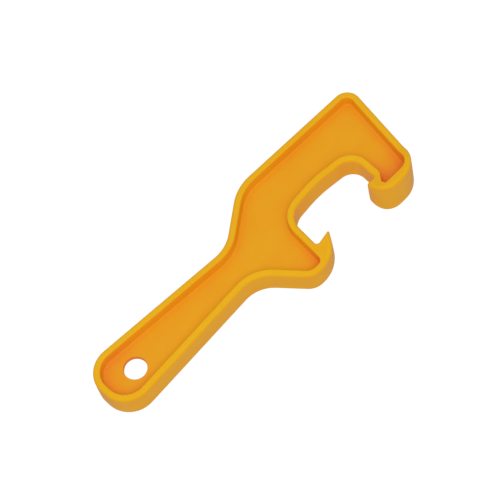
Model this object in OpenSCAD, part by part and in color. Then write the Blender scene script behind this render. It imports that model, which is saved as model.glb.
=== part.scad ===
// One-piece moulded pail and lid wrench, in millimetres.
// The origin is the centre of the hanging hole, midway through the thickness. +X runs along the
// handle towards the head, the mouth opens towards -Y, and +Z is through the thickness.

/* [Handle] */
// Distance from the hanging hole to the end of the handle
handle_end = 27; // [24:0.5:32]
// Width of the handle at its end, before the corners are rounded
handle_end_w = 44; // [42:0.2:46]
// Width of the handle where its edges meet the slopes of the head
handle_neck_w = 28.2; // [24:0.2:32]
// Radius of the two corners at the end of the handle
handle_end_r = 19; // [10:0.5:20]
// Diameter of the hanging hole
hang_hole_d = 15.5; // [8:0.5:20]

/* [Head] */
// Where the back of the handle starts to rise, along X
neck_back_x = 96.2; // [92:0.2:104]
// Where the belly of the handle starts to drop, along X
neck_belly_x = 94.5; // [90:0.5:98]
// Where the rise of the back ends, along X
shoulder_x = 131.5; // [125:0.5:140]
// Height of the back edge above the handle's centre line
back_y = 40.4; // [36:0.1:44]
// Length from the hanging hole to the head's front corner
head_len = 234.8; // [232:0.2:240]
// How far the back edge drops between the shoulder and the front corner
back_fall = 1.8; // [0:0.1:3]
// How far the front edge leans back between its top and its bottom
crown_lean = 12.4; // [8:0.2:16]
// Radius of the head's front corner
crown_r = 10; // [6:0.5:14]

/* [Mouth] */
// Where the throat of the mouth stands, along X
throat_x = 139; // [137.4:0.2:142]
// Height of the roof of the mouth at its two ends
roof_y = -0.4; // [-3:0.2:2]
// How far the roof is arched in the middle
roof_arch = 3.1; // [1:0.1:4]
// Width of the mouth from the throat to the arm's inner face
mouth_w = 58.6; // [56:0.1:62]
// Radius where the roof meets the throat
throat_r = 13.5; // [8:0.5:15]

/* [Hook] */
// Reach of the hook below the handle's centre line
hook_drop = 39.4; // [38.6:0.1:44]
// Depth of the pocket between the roof and the hook's barb
pocket_y = -22.4; // [-23.2:0.1:-19]
// How far the barb stands into the mouth
barb_l = 7.8; // [6:0.1:9]
// Radius of the barb's corner
barb_r = 2.5; // [1:0.5:3]
// Radius of the hook's inner lower corner
hook_in_r = 13; // [8:0.5:14]
// Radius of the hook's outer lower corner
hook_out_r = 19.5; // [12:0.5:22]
// Width of the hook's lip, through the thickness
lip_w = 30.5; // [24:0.5:36]

/* [Claw] */
// Where the tip of the claw is, along X
claw_tip_x = 149.7; // [148.4:0.1:153]
// Height of the claw's tip
claw_tip_y = -26.4; // [-28:0.1:-25.5]
// Height of the notch behind the claw
notch_y = -28.9; // [-30.5:0.1:-28.5]
// Lowest point of the heel under the claw
heel_y = -44; // [-45.5:0.5:-42]
// Where the heel's corner is, along X
heel_x = 119; // [117:0.5:120.5]

/* [Section] */
// Thickness of the tool through its rim
rim_t = 20; // [16:0.5:23]
// Thickness of the web between the rims
web_t = 4; // [3:0.5:6]
// Width of the rim, measured in from the outer edge
rim_w = 5; // [4:0.1:6]

/* [Hidden] */
$fn = 96;

web_colour = [0.90, 0.59, 0.15];
rim_colour = [0.91, 0.66, 0.14];

// Past every edge of the tool, for cuts that run right through it
far = 300;
// How much larger a rounding disc is than its arc
hair = 0.002;

// Where the moulding is divided into its regions
end_cut_x = -4;       // the round end ends here and the handle's straight rims begin
neck_cut_x = 82;      // the handle ends here and the head begins
heel_cut_x = 108;     // the heel's rim runs into the solid claw
claw_cut_y = -20;     // the throat's rim runs into the claw
roof_cut_x = 150;     // the throat's rim turns into the roof's
jaw_back_x = 122;     // the jaw's rims and the claw lie beyond this
arm_cut_x = 212;      // the crown's rim lies beyond this
crown_cut_y = 24;     // the back's rim, with its front corner, turns into the crown's
hook_cut_y = -10;     // the arm's rims run into the hook's lip
hook_cut_x = 175;     // the hook lies beyond this

// The lip fans out to its full width between these two heights
fan_start_y = -21;
fan_end_y = -34;
fan_r = 14;

// Radii of the outline's other corners
neck_belly_r = 22.5;
neck_back_r = 27;
shoulder_r = 33;
heel_r = 13;
claw_back_r = 24;
claw_tip_r = 0.8;
notch_r = 2;
roof_r = 90;
arm_r = 10.5;
pocket_r = 1.5;

// What the heel, the mouth, the arm and the front come to
claw_back_x = heel_x + 20.5;
claw_back_y = heel_y + 0.8;
arm_x = throat_x + mouth_w;
pocket_x = arm_x - 1.4;
barb_x = pocket_x - barb_l;
crown_bottom_x = head_len - crown_lean;
roof_mid_x = (throat_x + arm_x) / 2;
throat_foot_x = throat_x - 2.3;

// A corner is [x, y, radius], and an outline is a list of corners taken anticlockwise.
handle_start = [[-handle_end, -handle_end_w / 2, handle_end_r],
                [neck_belly_x, -handle_neck_w / 2, neck_belly_r],
                [heel_x, heel_y, heel_r]];
roof_of_mouth = [[throat_x, roof_y, throat_r],
                 [roof_mid_x, roof_y + roof_arch, roof_r],
                 [arm_x, roof_y - 0.2, arm_r]];
head_back = [[head_len, back_y - back_fall, crown_r],
             [shoulder_x, back_y, shoulder_r],
             [neck_back_x, handle_neck_w / 2, neck_back_r],
             [-handle_end, handle_end_w / 2, handle_end_r]];

// The whole tool: the claw is a solid point, and the barb turns back into the mouth
outer = concat(handle_start,
               [[claw_back_x, claw_back_y, claw_back_r],
                [claw_tip_x, claw_tip_y, claw_tip_r],
                [throat_foot_x, notch_y, notch_r]],
               roof_of_mouth,
               [[pocket_x, pocket_y, pocket_r],
                [barb_x, pocket_y, barb_r],
                [barb_x, -hook_drop, hook_in_r],
                [crown_bottom_x, -hook_drop, hook_out_r]],
               head_back);

// What the rim follows: the same without the claw's point and the barb's
rim_line = concat(handle_start,
                  [[throat_foot_x - 1.2, heel_y, 9]],
                  roof_of_mouth,
                  [[pocket_x + 0.5, pocket_y + 1.9, 0.5],
                   [barb_x + 2.5, pocket_y - 5.9, 6.5],
                   [barb_x + 4, 1.8 - hook_drop, 6],
                   [crown_bottom_x, 1.8 - hook_drop, hook_out_r - 5]],
                  head_back);

function unit(v) = v / norm(v);
function xy(c) = [c.x, c.y];
function left_of(v) = [-v.y, v.x];
function next(i, n) = (i + 1) % n;
function previous(i, n) = (i + n - 1) % n;

// The directions in which an outline reaches and leaves its corner i
function dir_in(cs, i) = unit(xy(cs[i]) - xy(cs[previous(i, len(cs))]));
function dir_out(cs, i) = unit(xy(cs[next(i, len(cs))]) - xy(cs[i]));

// How far the outline turns at corner i, in degrees, above zero where it is convex
function turn(cs, i) = let (a = dir_in(cs, i), b = dir_out(cs, i)) atan2(a.x * b.y - a.y * b.x, a * b);

// Corner i moved in by d, so that its arc stays concentric
function inset_corner(cs, i, d) =
    let (m = left_of(dir_in(cs, i)),
         n = left_of(dir_out(cs, i)),
         p = xy(cs[i]) + d * (m + n) / (1 + m * n))
    [p.x, p.y, max(cs[i].z - d * sign(turn(cs, i)), 0.6)];

function inset(cs, d) = [for (i = [0:len(cs) - 1]) inset_corner(cs, i, d)];

recess = inset(rim_line, rim_w);

// The points where the arc of corner i meets the straight edges before and after it
function arc_reach(cs, i) = cs[i].z * tan(abs(turn(cs, i)) / 2);
function arc_start(cs, i) = xy(cs[i]) - dir_in(cs, i) * arc_reach(cs, i);
function arc_end(cs, i) = xy(cs[i]) + dir_out(cs, i) * arc_reach(cs, i);

// What is cut away to round corner i: outside the arc where the outline is convex, and
// between the arc and its chord where it is concave. The disc is a hair larger than the
// arc, so that it crosses the straight edges rather than touching them.
module corner_cut(cs, i) {
    side = sign(turn(cs, i));
    reach = arc_reach(cs, i) * (side > 0 ? 1 : 1.3);
    centre = arc_start(cs, i) + left_of(dir_in(cs, i)) * cs[i].z * side;
    before = -dir_in(cs, i) * reach;
    after = dir_out(cs, i) * reach;
    module disc() translate(centre) circle(r = cs[i].z + hair);
    module wedge() {
        polygon([centre, for (v = [before, [0, 0], after]) centre + 1.2 * (xy(cs[i]) + v - centre)]);
    }
    if (side > 0) {
        difference() {
            wedge();
            disc();
        }
    } else {
        intersection() {
            wedge();
            disc();
        }
    }
}

// An outline with its corners rounded by true arcs
module rounded(cs) {
    corners = [0:len(cs) - 1];
    difference() {
        polygon([for (i = corners) each turn(cs, i) > 0 ? [xy(cs[i])] : [arc_start(cs, i), arc_end(cs, i)]]);
        for (i = corners) if (cs[i].z > 0) corner_cut(cs, i);
    }
}

// A rectangle from one corner to the other
module region(x0, y0, x1, y1) {
    translate([x0, y0]) square([x1 - x0, y1 - y0]);
}

// The stretch of the rim that lies within the region drawn as a child, t thick
module rim(t = rim_t) {
    color(rim_colour)
    linear_extrude(height = t, center = true)
    intersection() {
        difference() {
            rounded(outer);
            rounded(recess);
        }
        children();
    }
}

// The web within the region drawn as a child
module web() {
    linear_extrude(height = web_t, center = true)
    intersection() {
        rounded(recess);
        children();
    }
}

module handle_web() {
    color(web_colour)
    difference() {
        web() region(-far, -far, neck_cut_x, far);
        cylinder(h = web_t + 2, d = hang_hole_d, center = true);
    }
}

module head_web() {
    color(web_colour) web() region(neck_cut_x, -far, far, far);
}

module handle_end_rim() {
    rim() region(-far, -far, end_cut_x, far);
}

module handle_back_rim() {
    rim() region(end_cut_x, 0, neck_cut_x, far);
}

module handle_belly_rim() {
    rim() region(end_cut_x, -far, neck_cut_x, 0);
}

module heel_rim() {
    rim() region(neck_cut_x, -far, heel_cut_x, 0);
}

module back_rim() {
    rim() polygon([[neck_cut_x, 0], [jaw_back_x, 0], [jaw_back_x, crown_cut_y],
                   [far, crown_cut_y], [far, far], [neck_cut_x, far]]);
}

module crown_rim() {
    rim() region(arm_cut_x, hook_cut_y, far, crown_cut_y);
}

// The lip seen from the side, as y and z: it widens from the rim's thickness to its own
module lip_profile() {
    rounded([[-far, -lip_w / 2, 0],
             [fan_end_y, -lip_w / 2, fan_r],
             [fan_start_y, -rim_t / 2, fan_r],
             [0, -rim_t / 2, 0],
             [0, rim_t / 2, 0],
             [fan_start_y, rim_t / 2, fan_r],
             [fan_end_y, lip_w / 2, fan_r],
             [-far, lip_w / 2, 0]]);
}

module hook_lip() {
    color(rim_colour)
    intersection() {
        rim(lip_w) region(hook_cut_x, -far, far, hook_cut_y);
        rotate([90, 0, 90]) linear_extrude(height = far) lip_profile();
    }
}

module jaw_roof_rim() {
    rim() region(roof_cut_x, hook_cut_y, arm_cut_x, crown_cut_y);
}

module jaw_throat_rim() {
    rim() region(jaw_back_x, claw_cut_y, roof_cut_x, crown_cut_y);
}

module pry_claw() {
    rim() region(heel_cut_x, -far, hook_cut_x, claw_cut_y);
}

handle_web();
head_web();
handle_end_rim();
handle_back_rim();
handle_belly_rim();
heel_rim();
back_rim();
crown_rim();
hook_lip();
jaw_roof_rim();
jaw_throat_rim();
pry_claw();
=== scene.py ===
"""Looks of the pail wrench: one moulded-plastic piece for each CAD node, in the CAD's frame."""

import math
from collections import namedtuple

import bmesh
import bpy
import numpy as np
from mathutils import Matrix, Vector
from mathutils.geometry import delaunay_2d_cdt


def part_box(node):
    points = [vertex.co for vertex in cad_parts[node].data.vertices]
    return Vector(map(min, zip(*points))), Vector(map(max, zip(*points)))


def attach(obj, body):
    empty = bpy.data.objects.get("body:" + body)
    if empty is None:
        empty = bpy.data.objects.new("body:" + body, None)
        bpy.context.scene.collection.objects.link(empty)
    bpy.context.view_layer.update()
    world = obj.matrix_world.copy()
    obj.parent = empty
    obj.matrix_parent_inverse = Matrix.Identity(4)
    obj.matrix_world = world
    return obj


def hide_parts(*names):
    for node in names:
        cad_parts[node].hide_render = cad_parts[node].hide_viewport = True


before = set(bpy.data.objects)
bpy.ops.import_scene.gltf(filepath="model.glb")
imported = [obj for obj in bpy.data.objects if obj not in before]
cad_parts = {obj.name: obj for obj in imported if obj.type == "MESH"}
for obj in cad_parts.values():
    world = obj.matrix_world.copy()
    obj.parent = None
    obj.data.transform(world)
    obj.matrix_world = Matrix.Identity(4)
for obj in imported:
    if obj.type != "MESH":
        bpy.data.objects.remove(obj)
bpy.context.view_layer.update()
MM = 0.001


def high(node, axis):
    """The upper end of a CAD node's box along an axis, in millimetres."""
    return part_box(node)[1][axis] / MM


# Sizes and cuts that the CAD nodes hold, in millimetres
RIM_TOP = high("handle_end_rim", 2)
WEB_TOP = high("handle_web", 2)
LIP_TOP = high("hook_lip", 2)
END_CUT = high("handle_end_rim", 0)
NECK_CUT = high("handle_web", 0)
HEEL_CUT = high("heel_rim", 0)
CLAW_CUT = high("pry_claw", 1)
ROOF_CUT = high("jaw_throat_rim", 0)
CROWN_CUT = high("crown_rim", 1)
HOOK_CUT = high("hook_lip", 1)

# The outlines of the CAD, as corners [x, y, radius] taken anticlockwise, in millimetres
HANDLE_START = [(-27, -22, 19), (94.5, -14.1, 22.5), (119, -44, 13)]
ROOF = [(139, -0.4, 13.5), (168.3, 2.7, 90), (197.6, -0.6, 10.5)]
HEAD_BACK = [
    (234.8, 38.6, 10),
    (131.5, 40.4, 33),
    (96.2, 14.1, 27),
    (-27, 22, 19),
]
CLAW = [(139.5, -43.2, 24), (149.7, -26.4, 0.8), (136.7, -28.9, 2)]
BARB = [(196.2, -22.4, 1.5), (188.4, -22.4, 2.5), (188.4, -39.4, 13), (222.4, -39.4, 19.5)]
OUTER = HANDLE_START + CLAW + ROOF + BARB + HEAD_BACK
RIM_LINE = (
    HANDLE_START
    + [(135.5, -44, 9)]
    + ROOF
    + [(196.7, -20.5, 0.5), (190.9, -28.3, 6.5), (192.4, -37.6, 6), (222.4, -37.6, 14.5)]
    + HEAD_BACK
)

# The lip fans out between these two distances below the handle's centre line, with bends of
# this radius, and only beyond FAN_X, in millimetres
FAN_X = 175
FAN_START, FAN_END, FAN_R = 21, 34, 14

# The hanging hole and the round of its edge, in millimetres
HOLE_R = 7.75
HOLE_EDGE_R = 0.6

# The moulding's edge rounds, draft and fillets, in millimetres
EDGE_R = 2.2
OUTER_DRAFT = 0.07
RIM_INNER = 3.7
INNER_R = 1.2
FILLET_R = 1.5
DRAFT = math.radians(4)
FLOOR_STRIP = 0.4

# How finely the mesh is divided: steps round each kind of edge, and lengths in millimetres
OUTER_STEPS, INNER_STEPS, FILLET_STEPS = 6, 5, 6
HOLE_STEPS, HOLE_EDGE_STEPS = 72, 4
ARC_STEP, FAN_STEP, LINE_STEP = 0.7, 1.0, 4.0
LEAST_R = 0.03
LEAST_ARC_STEPS = 3
RIM_FACE_STEP, RIM_FACE_CLEAR = 1.1, 0.6
WEB_STEP, WEB_CLEAR = 2.5, 1.2

# How close two points have to be to count as one: in a sheet, and at a cut
SHEET_MERGE, CUT_MERGE = 1e-7, 1e-5

# Asks delaunay_2d_cdt for only the triangles inside the edges
INSIDE_ONLY = 1

# The boxes round the broad faces of the hook and the claw and round the web, as two corners
HOOK_AREA = (183, -40), (234, -15)
CLAW_AREA = (128, -44), (150, -24)
WEB_AREA = (-20, -40), (232, 36)

# Where the rim closes the recess in and the painted shade is strongest: the handle's end, the
# claw's heel and the hook, as (x, y, radius, how far it fades out beyond that, how strong it is)
CLOSED_IN = [(-8, 0, 14, 8, 0.6), (133, -37, 2, 7, 1), (207, -33, 10, 12, 1.2)]

# Painted shade, darker and redder as shade and bounce light would make it: how much the recess
# wall, its foot and the hole get, and how many times more where the rim closes the recess in
WALL_SHADE, FOOT_SHADE, HOLE_SHADE = 0.12, 0.10, 0.5
CLOSED_IN_SHADE = 4.5

# How much painted shade the web gets there: in a band along the wall, which fades out over so
# many millimetres, and all over
BAND_SHADE, BAND_FADE, WEB_SHADE = 0.9, 2, 0.2

# How much wear and painted sheen the rim's broad flat faces get, where 1 is its exposed bead
FACE_WEAR_AND_SHEEN = 0.4


def fan(y):
    """How far the lip's face stands above the rim's at a given y, and its slope dz/dy."""
    t = -y
    rise = LIP_TOP - RIM_TOP
    angle = math.atan2(rise, FAN_END - FAN_START)
    reach = FAN_R * math.tan(angle / 2)
    t0, t1 = FAN_START - reach, FAN_START + reach * math.cos(angle)
    t2, t3 = FAN_END - reach * math.cos(angle), FAN_END + reach
    if t <= t0:
        return 0.0, 0.0
    if t < t1:
        h = math.sqrt(FAN_R**2 - (t - t0) ** 2)
        return FAN_R - h, -(t - t0) / h
    if t <= t2:
        return (t - FAN_START) * math.tan(angle), -math.tan(angle)
    if t < t3:
        h = math.sqrt(FAN_R**2 - (t3 - t) ** 2)
        return rise - FAN_R + h, -(t3 - t) / h
    return rise, 0.0


def lifted(x, y):
    """The fan's lift and slope at a place: none outside the hook."""
    return fan(y) if x > FAN_X else (0.0, 0.0)


def enclosed(x, y):
    """How far a place is closed in by the rim round it, from 0 to about 1."""
    return max(
        strength * math.exp(-max(0, math.hypot(x - at_x, y - at_y) - radius) / fade)
        for at_x, at_y, radius, fade, strength in CLOSED_IN
    )


def leftward(v):
    """A direction turned a quarter turn anticlockwise."""
    return np.array([-v[1], v[0]])


class Outline:
    """A closed outline with rounded corners. Its rings, at any depth, have matching points."""

    def __init__(self, corners, deepest):
        self.p = np.array([c[:2] for c in corners], float)
        self.r = np.array([c[2] for c in corners], float)
        edges = np.roll(self.p, -1, 0) - self.p
        self.out = edges / np.linalg.norm(edges, axis=1)[:, None]
        self.inn = np.roll(self.out, 1, 0)
        cross = self.inn[:, 0] * self.out[:, 1] - self.inn[:, 1] * self.out[:, 0]
        self.turn = np.arctan2(cross, (self.inn * self.out).sum(1))
        self.arc_steps = [
            max(LEAST_ARC_STEPS, math.ceil((r if a > 0 else r + deepest) * abs(a) / ARC_STEP))
            for r, a in zip(self.r, self.turn)
        ]
        self.line_steps = [
            max(1, math.ceil(np.linalg.norm(e) / (FAN_STEP if p[0] > FAN_X else LINE_STEP)))
            for p, e in zip(self.p, edges)
        ]

    def ring(self, depth):
        """Points of the ring at that depth, and the directions out of the outline there."""
        n = len(self.p)
        starts, ends, arcs = [], [], []
        for i in range(n):
            a, b, turn = self.inn[i], self.out[i], self.turn[i]
            m, k = leftward(a), leftward(b)
            q = self.p[i] + depth * (m + k) / (1 + m @ k)
            r = max(self.r[i] - depth * np.sign(turn), LEAST_R)
            reach = r * math.tan(abs(turn) / 2)
            start = q - a * reach
            centre = start + m * r * np.sign(turn)
            steps = self.arc_steps[i]
            normal = math.atan2(-a[0], a[1])
            angles = [normal + turn * j / steps for j in range(steps + 1)]
            ways = np.array([(math.cos(t), math.sin(t)) for t in angles])
            arcs.append((centre + ways * r * np.sign(turn), ways))
            starts.append(start)
            ends.append(q + b * reach)
        points, ways = [], []
        for i in range(n):
            points.extend(arcs[i][0])
            ways.extend(arcs[i][1])
            nxt = (i + 1) % n
            if (starts[nxt] - ends[i]) @ self.out[i] <= 0:
                raise ValueError(f"the edge after corner {i} vanishes at depth {depth}")
            for j in range(1, self.line_steps[i]):
                points.append(ends[i] + (starts[nxt] - ends[i]) * j / self.line_steps[i])
                ways.append(arcs[i][1][-1])
        return np.array(points), np.array(ways)


# One station of the rim's profile: how deep inside the outline and how high it is, its share of
# the fan's lift, the angle of its normal in degrees, its wear and painted sheen (1 on the rim's
# exposed bead), and how much painted shade it gets
Station = namedtuple("Station", "depth height share angle wear deep")


def outer_profile():
    """From the middle of the outer wall, up and round the outer edge to the rim's face."""
    stations = [Station(depth=0, height=0, share=0, angle=0, wear=0, deep=0)]
    # The wear here also carries a lighter painted sheen, strongest on top of the outer bead
    for k in range(OUTER_STEPS + 1):
        degrees = 90 * k / OUTER_STEPS
        a = math.radians(degrees)
        stations.append(
            Station(
                depth=OUTER_DRAFT + EDGE_R * (1 - math.cos(a)),
                height=RIM_TOP - EDGE_R * (1 - math.sin(a)),
                share=1,
                angle=degrees,
                wear=math.sin(a) ** 3,
                deep=0,
            )
        )
    return stations


def inner_profile():
    """From the rim's face round its inner edge, down the recess wall and onto the web."""
    stations = []
    last = math.pi / 2 - DRAFT
    # Round the inner edge: wear with a painted sheen that fades down the edge, and painted shade
    # that grows down the wall
    for k in range(INNER_STEPS + 1):
        a = last * k / INNER_STEPS
        stations.append(
            Station(
                depth=RIM_INNER + INNER_R * math.sin(a),
                height=RIM_TOP - INNER_R * (1 - math.cos(a)),
                share=1,
                angle=90 + math.degrees(a),
                wear=math.sqrt(math.cos(a)),
                deep=WALL_SHADE * math.sin(a) ** 3,
            )
        )
    wall_top = stations[-1]
    foot_z = WEB_TOP + FILLET_R * (1 - math.sin(DRAFT))
    wall_reach = (wall_top.height - foot_z) * math.tan(DRAFT)
    centre = wall_top.depth + wall_reach + FILLET_R * math.cos(DRAFT)
    for k in range(FILLET_STEPS + 1):
        a = DRAFT + (math.pi / 2 - DRAFT) * k / FILLET_STEPS
        stations.append(
            Station(
                depth=centre - FILLET_R * math.cos(a),
                height=WEB_TOP + FILLET_R * (1 - math.sin(a)),
                share=0,
                angle=180 - math.degrees(a),
                wear=0,
                deep=FOOT_SHADE + (WALL_SHADE - FOOT_SHADE) * math.cos(a),
            )
        )
    stations.append(
        Station(
            depth=centre + FLOOR_STRIP, height=WEB_TOP, share=0, angle=90, wear=0, deep=FOOT_SHADE
        )
    )
    return stations


OUTER_STATIONS = outer_profile()
INNER_STATIONS = inner_profile()
FLOOR_DEPTH = INNER_STATIONS[-1].depth
outer_line = Outline(OUTER, OUTER_STATIONS[-1].depth)
inner_line = Outline(RIM_LINE, FLOOR_DEPTH)


class Shell:
    """A mesh in the making: points, their normals, wear and painted sheen, painted shade, and
    faces.
    """

    def __init__(self):
        self.co, self.no, self.wear, self.deep, self.faces = [], [], [], [], []

    def point(self, x, y, z, normal, wear, deep):
        """Adds a point and returns its number."""
        self.co.append((x, y, z))
        self.no.append(Vector(normal).normalized())
        self.wear.append(wear)
        self.deep.append(deep)
        return len(self.co) - 1

    def ring(self, line, station, side):
        """One ring of points at a station; side is 1 for the upper face, -1 for the lower."""
        a = math.radians(station.angle)
        ids = []
        for (x, y), way in zip(*line.ring(station.depth)):
            lift, slope = lifted(x, y)
            up = math.sin(a)
            normal = (
                math.cos(a) * way[0],
                math.cos(a) * way[1] - station.share * slope * up,
                side * up,
            )
            z = side * (station.height + station.share * lift)
            deep = station.deep * (1 + CLOSED_IN_SHADE * enclosed(x, y))
            ids.append(self.point(x, y, z, normal, station.wear, deep))
        return ids

    def strip(self, a, b):
        """Joins two rings with a strip of four-sided faces."""
        n = len(a)
        for i in range(n):
            j = (i + 1) % n
            self.faces.append((a[i], a[j], b[j], b[i]))

    def sheet(self, loops, inside, spare, describe):
        """Fills the space between closed loops of points. spare are places to add inside it,
        and describe gives such a place its height, normal, wear and painted sheen, and painted
        shade."""
        ids = [i for loop in loops for i in loop]
        flat = [Vector(self.co[i][:2]) for i in ids]
        edges, at = [], 0
        for loop in loops:
            edges += [(at + k, at + (k + 1) % len(loop)) for k in range(len(loop))]
            at += len(loop)
        ids = ids + [None] * len(spare)
        flat += [Vector(s) for s in spare]
        verts, _, tris, source, _, _ = delaunay_2d_cdt(
            flat, edges, [], INSIDE_ONLY, SHEET_MERGE
        )
        known = {}
        for k in range(len(verts)):
            found = [ids[s] for s in source[k] if ids[s] is not None]
            if found:
                known[k] = found[0]
        for tri in tris:
            centre = sum((verts[k] for k in tri), Vector((0, 0))) / 3
            if not inside(np.array([centre]))[0]:
                continue
            for k in tri:
                if k not in known:
                    known[k] = self.point(*verts[k], *describe(verts[k]))
            self.faces.append(tuple(known[k] for k in tri))

    def bmesh(self):
        """The shell as a bmesh, with its normals, wear and painted sheen, and painted shade in
        layers.
        """
        bm = bmesh.new()
        normals = bm.verts.layers.float_vector.new("skin_normal")
        wear = bm.verts.layers.float.new("wear")
        deep = bm.verts.layers.float.new("deep")
        for k, co in enumerate(self.co):
            v = bm.verts.new(co)
            v[normals], v[wear], v[deep] = self.no[k], self.wear[k], self.deep[k]
        bm.verts.ensure_lookup_table()
        for f in self.faces:
            bm.faces.new([bm.verts[i] for i in f])
        return bm


def within(polygon):
    """A test of which points lie inside a polygon."""
    a, b = polygon, np.roll(polygon, -1, 0)

    def test(points):
        x, y = points[:, 0][:, None], points[:, 1][:, None]
        crosses = (a[:, 1] > y) != (b[:, 1] > y)
        with np.errstate(divide="ignore", invalid="ignore"):
            at = a[:, 0] + (y - a[:, 1]) * (b[:, 0] - a[:, 0]) / (b[:, 1] - a[:, 1])
        return (crosses & (x < at)).sum(1) % 2 == 1

    return test


def between(outer, inner):
    """A test of which points lie inside one polygon and outside another."""
    in_outer, in_inner = within(outer), within(inner)
    return lambda points: in_outer(points) & ~in_inner(points)


def grid(area, step, keep, edges, clear):
    """Points of a staggered grid that a test keeps and that stay clear of the edges' points."""
    lo, hi = area
    points = []
    for j, y in enumerate(np.arange(lo[1], hi[1], step)):
        for x in np.arange(lo[0] + step / 2 * (j % 2), hi[0], step):
            points.append((x, y))
    points = np.array(points)
    points = points[keep(points)]
    near = np.array([np.hypot(*(edges - p).T).min() for p in points])
    return points[near > clear]


def rim_shell():
    """The whole rim as one closed ring, with its solid claw and barb."""
    shell = Shell()
    top = outer_line.ring(OUTER_STATIONS[-1].depth)[0]
    inner = inner_line.ring(INNER_STATIONS[0].depth)[0]
    on_rim = between(top, inner)
    edges = np.vstack([top, inner])
    spare = np.vstack(
        [grid(a, RIM_FACE_STEP, on_rim, edges, RIM_FACE_CLEAR) for a in (HOOK_AREA, CLAW_AREA)]
    )
    middle = shell.ring(outer_line, OUTER_STATIONS[0], 1)
    feet = []
    for side in (1, -1):
        rings = [middle] + [shell.ring(outer_line, s, side) for s in OUTER_STATIONS[1:]]
        walls = [shell.ring(inner_line, s, side) for s in INNER_STATIONS]
        for group in (rings, walls):
            for a, b in zip(group, group[1:]):
                shell.strip(a, b)

        def face(v, side=side):
            lift, slope = lifted(*v)
            return side * (RIM_TOP + lift), (0, -slope, side), FACE_WEAR_AND_SHEEN, 0

        shell.sheet([rings[-1], walls[0]], on_rim, spare, face)
        feet.append(walls[-1])
    shell.strip(*feet)
    return shell


def web_shell():
    """The whole web as one closed plate with the hanging hole."""
    shell = Shell()
    edge = inner_line.ring(FLOOR_DEPTH)[0]
    turns = [2 * math.pi * k / HOLE_STEPS for k in range(HOLE_STEPS)]
    ways = [(math.cos(t), math.sin(t)) for t in turns]
    lip = np.array(ways) * (HOLE_R + HOLE_EDGE_R)
    on_web = between(edge, lip)
    spare = grid(WEB_AREA, WEB_STEP, on_web, np.vstack([edge, lip]), WEB_CLEAR)

    def web_shade(v):
        """How much painted shade the web gets: most at the wall's foot where the rim closes it
        in.
        """
        off = np.hypot(*(edge - np.array(v)).T).min()
        share = enclosed(*v)
        return BAND_SHADE * share * math.exp(-off / BAND_FADE) + WEB_SHADE * share**2

    def bore_ring(side, k):
        """One ring round the hole, from its lip (k is 0) down to its wall."""
        a = math.radians(90 * k / HOLE_EDGE_STEPS)
        r = HOLE_R + HOLE_EDGE_R * (1 - math.sin(a))
        z = side * (WEB_TOP - HOLE_EDGE_R * (1 - math.cos(a)))
        # Painted shade, deepening down the hole's wall
        deep = HOLE_SHADE * math.sin(a)
        return [
            shell.point(
                r * x, r * y, z, (-math.sin(a) * x, -math.sin(a) * y, side * math.cos(a)), 0, deep
            )
            for x, y in ways
        ]

    borders, middles = [], []
    for side in (1, -1):
        border = shell.ring(inner_line, INNER_STATIONS[-1], side)
        bore = [bore_ring(side, k) for k in range(HOLE_EDGE_STEPS + 1)]
        for a, b in zip(bore, bore[1:]):
            shell.strip(a, b)
        shell.sheet(
            [border, bore[0]],
            on_web,
            spare,
            lambda v, s=side: (s * WEB_TOP, (0, 0, s), 0, web_shade(v)),
        )
        borders.append(border)
        middles.append(bore[-1])
    shell.strip(*borders)
    shell.strip(*middles)
    return shell


# Where one stretch of the moulding ends and another can begin, in millimetres: the claw's span,
# the jaw beyond the neck, the back of the hook, the front of the arm, and the roof's upper bound
CLAW_X = (120, 145)
JAW_X = 122
HOOK_X = 185
ARM_X = 212
ROOF_Y = 12

# A cut goes through the faces whose middles lie this close to it
RIM_NEAR, WEB_NEAR = 8, 12

# Where the moulding is divided: (axis, value, which faces the cut goes through)
RIM_CUTS = [
    (0, END_CUT, lambda c: c.x < END_CUT + RIM_NEAR),
    (0, NECK_CUT, lambda c: abs(c.x - NECK_CUT) < RIM_NEAR),
    (0, HEEL_CUT, lambda c: c.y < 0 and abs(c.x - HEEL_CUT) < RIM_NEAR),
    (1, CLAW_CUT, lambda c: CLAW_X[0] < c.x < CLAW_X[1]),
    (0, ROOF_CUT, lambda c: c.y < ROOF_Y and abs(c.x - ROOF_CUT) < RIM_NEAR),
    (1, CROWN_CUT, lambda c: c.x > ARM_X),
    (1, HOOK_CUT, lambda c: c.x > HOOK_X),
]
WEB_CUTS = [(0, NECK_CUT, lambda c: abs(c.x - NECK_CUT) < WEB_NEAR)]


def rim_node(c):
    """The CAD node that a face of the rim belongs to, from the face's middle."""
    if c.x < END_CUT:
        return "handle_end_rim"
    if c.x < NECK_CUT:
        return "handle_back_rim" if c.y > 0 else "handle_belly_rim"
    if c.x > FAN_X and c.y < HOOK_CUT:
        return "hook_lip"
    if c.y > CROWN_CUT or (c.x < JAW_X and c.y > 0):
        return "back_rim"
    if c.x > ARM_X:
        return "crown_rim"
    if c.x > ROOF_CUT and c.y > HOOK_CUT:
        return "jaw_roof_rim"
    if c.x > JAW_X and c.y > CLAW_CUT:
        return "jaw_throat_rim"
    return "heel_rim" if c.x < HEEL_CUT else "pry_claw"


def web_node(c):
    """The CAD node that a face of the web belongs to, from the face's middle."""
    return "handle_web" if c.x < NECK_CUT else "head_web"


def divide(bm, cuts):
    """Cuts the faces along each plane, so that no face lies across it."""
    for axis, value, through in cuts:
        faces = [f for f in bm.faces if through(f.calc_center_median())]
        geom = set(faces)
        for f in faces:
            geom.update(f.edges)
            geom.update(f.verts)
        normal = Vector((0, 0, 0))
        normal[axis] = 1
        bmesh.ops.bisect_plane(
            bm, geom=list(geom), dist=CUT_MERGE, plane_co=normal * value, plane_no=normal
        )


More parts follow.
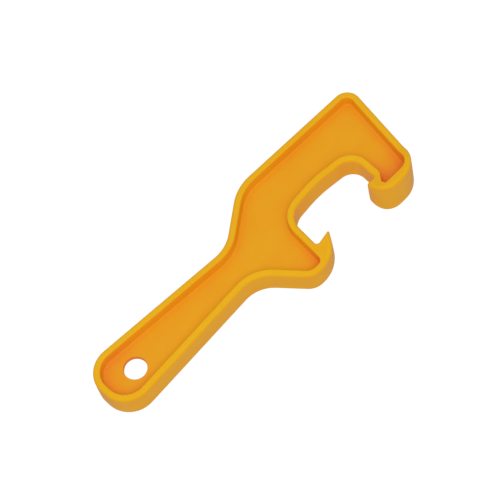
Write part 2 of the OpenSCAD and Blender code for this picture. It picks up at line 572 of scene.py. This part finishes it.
def piece(bm, node, node_of, material):
    """The faces of one node as a closed piece of its own, which stands for that node."""
    part = bm.copy()
    bmesh.ops.delete(
        part,
        geom=[f for f in part.faces if node_of(f.calc_center_median()) != node],
        context="FACES",
    )
    open_edges = [e for e in part.edges if len(e.link_faces) == 1]
    caps = bmesh.ops.holes_fill(part, edges=open_edges, sides=0)["faces"]
    for f in part.faces:
        f.smooth = True
    for f in caps:
        f.smooth = False
        for e in f.edges:
            e.smooth = False
    bmesh.ops.recalc_face_normals(part, faces=part.faces)
    bad = [e for e in part.edges if len(e.link_faces) != 2]
    if bad:
        raise ValueError(f"{node} isn't closed: {len(bad)} open edges")
    for v in part.verts:
        v.co *= MM
    mesh = bpy.data.meshes.new("moulded_" + node)
    part.to_mesh(mesh)
    part.free()
    skin = mesh.attributes["skin_normal"].data
    normals = []
    for poly in mesh.polygons:
        for k in poly.loop_indices:
            if poly.use_smooth:
                normals.append(Vector(skin[mesh.loops[k].vertex_index].vector).normalized())
            else:
                normals.append(poly.normal.copy())
    mesh.normals_split_custom_set(normals)
    mesh.attributes.remove(mesh.attributes["skin_normal"])
    obj = bpy.data.objects.new("moulded_" + node, mesh)
    bpy.context.scene.collection.objects.link(obj)
    mesh.materials.append(material)
    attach(obj, "root")
    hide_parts(node)
    return obj


# Painted light in the plastic's colour: painted shade and red bounce light down in the recess,
# a lighter painted sheen with the wear on the bead, and painted shade where the surface is seen
# edge-on
PAINTED_SHADE_TONE = (0.97, 0.22, 0.05, 1)
WORN_SHEEN_TONE = (0.97, 0.62, 0.010, 1)
GRAZING_SHADE_TONE = (0.80, 0.27, 0.003, 1)

# How the plastic's marks and sheen are made: the flow marks' squeeze along the handle, how far
# the blotches, the worn bead's painted sheen and the painted edge-on shade cover the base, where
# that painted shade starts, the dullness of smooth and of scuffed places and what wear adds, the
# grain's share of the surface's fine height, and the strength and depth of that height
FLOW_SQUEEZE = 0.35
BLOTCH_MIX, WORN_SHEEN_MIX, GRAZING_SHADE_MIX = 0.25, 0.6, 0.75
GRAZING_SHADE_START = 0.62
SMOOTH_ROUGHNESS, SCUFFED_ROUGHNESS, WORN_ROUGHNESS = 0.3, 0.46, 0.08
GRAIN_SHARE = 0.35
BUMP_STRENGTH, BUMP_DEPTH = 0.12, 0.0004
PLASTIC_IOR, PLASTIC_SPECULAR = 1.49, 0.08


def plastic(name, dark, light, warm):
    """Satin injection-moulded plastic: faint flow marks, fine grain, scuffs, and worn edges, with
    painted shade in the recess, a painted sheen on the worn bead and painted shade seen edge-on.
    dark and light are the two tones of its flow marks, and warm is the tone of its blotches."""
    mat = bpy.data.materials.new(name)
    mat.use_nodes = True
    nodes, links = mat.node_tree.nodes, mat.node_tree.links
    nodes.clear()

    def feed(socket, value):
        """Links another node's output to a socket, or sets the socket to a plain value."""
        if isinstance(value, bpy.types.NodeSocket):
            links.new(value, socket)
        else:
            socket.default_value = value

    def add(kind, inputs, **settings):
        """A new node with these settings, its inputs fed by name or number."""
        node = nodes.new(kind)
        for key, value in settings.items():
            setattr(node, key, value)
        for key, value in inputs.items():
            feed(node.inputs[key], value)
        return node

    def noise(vector, scale, detail):
        inputs = {"Vector": vector, "Scale": scale, "Detail": detail}
        return add("ShaderNodeTexNoise", inputs).outputs["Fac"]

    def remap(value, lo, hi, to_lo, to_hi):
        keys = ("Value", "From Min", "From Max", "To Min", "To Max")
        inputs = dict(zip(keys, (value, lo, hi, to_lo, to_hi)))
        return add("ShaderNodeMapRange", inputs).outputs["Result"]

    def math_node(operation, a, b):
        return add("ShaderNodeMath", {0: a, 1: b}, operation=operation).outputs[0]

    def mix(fac, a, b):
        node = add("ShaderNodeMix", {}, data_type="RGBA")
        for key, kind, value in (("Factor", "VALUE", fac), ("A", "RGBA", a), ("B", "RGBA", b)):
            feed(next(s for s in node.inputs if s.name == key and s.type == kind), value)
        return next(s for s in node.outputs if s.type == "RGBA")

    where = add("ShaderNodeTexCoord", {}).outputs["Object"]
    wear = add("ShaderNodeAttribute", {}, attribute_name="wear").outputs["Fac"]
    deep = add("ShaderNodeAttribute", {}, attribute_name="deep").outputs["Fac"]

    stretched = add("ShaderNodeMapping", {"Vector": where, "Scale": (FLOW_SQUEEZE, 1, 1)})
    flow = noise(stretched.outputs[0], scale=45, detail=3)
    blotch = noise(where, scale=120, detail=4)
    scuff = noise(where, scale=900, detail=6)
    grain = noise(where, scale=3200, detail=2)

    # Flow marks, blotches, the painted shade, then the worn bead with its painted sheen and the
    # painted edge-on shade
    base = mix(remap(flow, 0.35, 0.65, 0, 1), dark, light)
    base = mix(remap(blotch, 0.4, 0.7, 0, BLOTCH_MIX), base, warm)
    base = mix(deep, base, PAINTED_SHADE_TONE)
    worn_and_sheen = math_node("MULTIPLY", wear, remap(scuff, 0.35, 0.7, 0.35, 1))
    base = mix(math_node("MULTIPLY", worn_and_sheen, WORN_SHEEN_MIX), base, WORN_SHEEN_TONE)
    grazing_shade = add("ShaderNodeLayerWeight", {"Blend": 0.5}).outputs["Facing"]
    base = mix(remap(grazing_shade, GRAZING_SHADE_START, 1, 0, GRAZING_SHADE_MIX), base, GRAZING_SHADE_TONE)

    # Scuffed and worn places are duller
    rough = remap(scuff, 0.3, 0.75, SMOOTH_ROUGHNESS, SCUFFED_ROUGHNESS)
    rough = math_node("ADD", rough, math_node("MULTIPLY", worn_and_sheen, WORN_ROUGHNESS))

    height = math_node("ADD", math_node("MULTIPLY", grain, GRAIN_SHARE), blotch)
    inputs = {"Strength": BUMP_STRENGTH, "Distance": BUMP_DEPTH, "Height": height}
    bump = add("ShaderNodeBump", inputs)

    shader = add(
        "ShaderNodeBsdfPrincipled",
        {
            "Base Color": base,
            "Roughness": rough,
            "IOR": PLASTIC_IOR,
            "Specular IOR Level": PLASTIC_SPECULAR,
            "Normal": bump.outputs[0],
        },
    )
    add("ShaderNodeOutputMaterial", {"Surface": shader.outputs[0]})
    return mat


# Both materials are the same plastic; the rim's tones are a touch lighter than the web's, painted
# light that lifts the rim above the recess floor.
rim_plastic = plastic(
    "moulded_rim_plastic",
    dark=(0.97, 0.43, 0.012, 1),
    light=(0.98, 0.47, 0.013, 1),
    warm=(0.96, 0.40, 0.011, 1),
)
web_plastic = plastic(
    "moulded_web_plastic",
    dark=(0.96, 0.43, 0.016, 1),
    light=(0.96, 0.465, 0.017, 1),
    warm=(0.94, 0.40, 0.016, 1),
)

rim = rim_shell().bmesh()
divide(rim, RIM_CUTS)
web = web_shell().bmesh()
divide(web, WEB_CUTS)
for name in sorted(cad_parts):
    if name.endswith("_web"):
        piece(web, name, web_node, web_plastic)
    else:
        piece(rim, name, rim_node, rim_plastic)


# The camera: a long lens, tilted away from straight down, turned about its own axis, in metres
TILT, SPIN, ROLL = (math.radians(d) for d in (27.5, 29.5, -17))
TARGET = Vector((0.1074, 0.0045, 0.00145))
DISTANCE = 1.4
LENS, SENSOR = 156.24, 36
right = Vector((math.cos(SPIN), -math.sin(SPIN), 0))
forward = Vector(
    (math.sin(SPIN) * math.sin(TILT), math.cos(SPIN) * math.sin(TILT), -math.cos(TILT))
)
up = right.cross(forward)
image_right = math.cos(ROLL) * right + math.sin(ROLL) * up
image_up = math.cos(ROLL) * up - math.sin(ROLL) * right
place = TARGET - forward * DISTANCE
camera = bpy.data.objects.new("camera", bpy.data.cameras.new("camera"))
camera.data.lens = LENS
camera.data.sensor_width = SENSOR
camera.matrix_world = Matrix(
    [(image_right[k], image_up[k], -forward[k], place[k]) for k in range(3)] + [(0, 0, 0, 1)]
)
bpy.context.scene.collection.objects.link(camera)
bpy.context.scene.camera = camera

# The light: an even white sky and a weak, broad key on the camera's side of the object
SKY_STRENGTH = 0.62
KEY_OUT, KEY_UP = 0.65, 1.2
KEY_SIZE, KEY_POWER = 0.9, 4.9
KEY_COLOUR = (1, 0.98, 0.95)


def key_light():
    """A square soft light on the camera's side, aimed at the object's middle."""
    near_side = -Vector((forward.x, forward.y, 0)).normalized()
    offset = near_side * KEY_OUT + Vector((0, 0, KEY_UP))
    data = bpy.data.lights.new("key", "AREA")
    data.size = KEY_SIZE
    data.energy = KEY_POWER
    data.color = KEY_COLOUR
    light = bpy.data.objects.new("key", data)
    light.location = TARGET + offset
    light.rotation_mode = "QUATERNION"
    light.rotation_quaternion = (-offset).to_track_quat("-Z", "Y")
    bpy.context.scene.collection.objects.link(light)


key_light()
world = bpy.data.worlds.new("studio")
world.use_nodes = True
world.node_tree.nodes["Background"].inputs["Color"].default_value = (1, 1, 1, 1)
world.node_tree.nodes["Background"].inputs["Strength"].default_value = SKY_STRENGTH
bpy.context.scene.world = world

# The floor: half its width, where its middle is, and its gap below the lip, in metres
FLOOR_HALF = 6
FLOOR_X = 0.108
FLOOR_GAP = 0.0002


def floor():
    """A plain white floor, just under the lip. It lights and tints nothing."""
    bm = bmesh.new()
    bmesh.ops.create_grid(bm, x_segments=2, y_segments=2, size=FLOOR_HALF)
    mesh = bpy.data.meshes.new("floor")
    bm.to_mesh(mesh)
    bm.free()
    obj = bpy.data.objects.new("floor", mesh)
    bpy.context.scene.collection.objects.link(obj)
    mat = bpy.data.materials.new("floor")
    mat.use_nodes = True
    inputs = mat.node_tree.nodes["Principled BSDF"].inputs
    inputs["Base Color"].default_value = (0.05, 0.05, 0.05, 1)
    inputs["Roughness"].default_value = 0.9
    inputs["Specular IOR Level"].default_value = 0.1
    inputs["Emission Color"].default_value = (1, 1, 1, 1)
    inputs["Emission Strength"].default_value = 1.0
    mesh.materials.append(mat)
    obj.location = (FLOOR_X, 0, -LIP_TOP * MM - FLOOR_GAP)
    obj.visible_glossy = False
    obj.visible_diffuse = False


floor()

view = bpy.context.scene.view_settings
view.view_transform = "Standard"
view.look = "None"
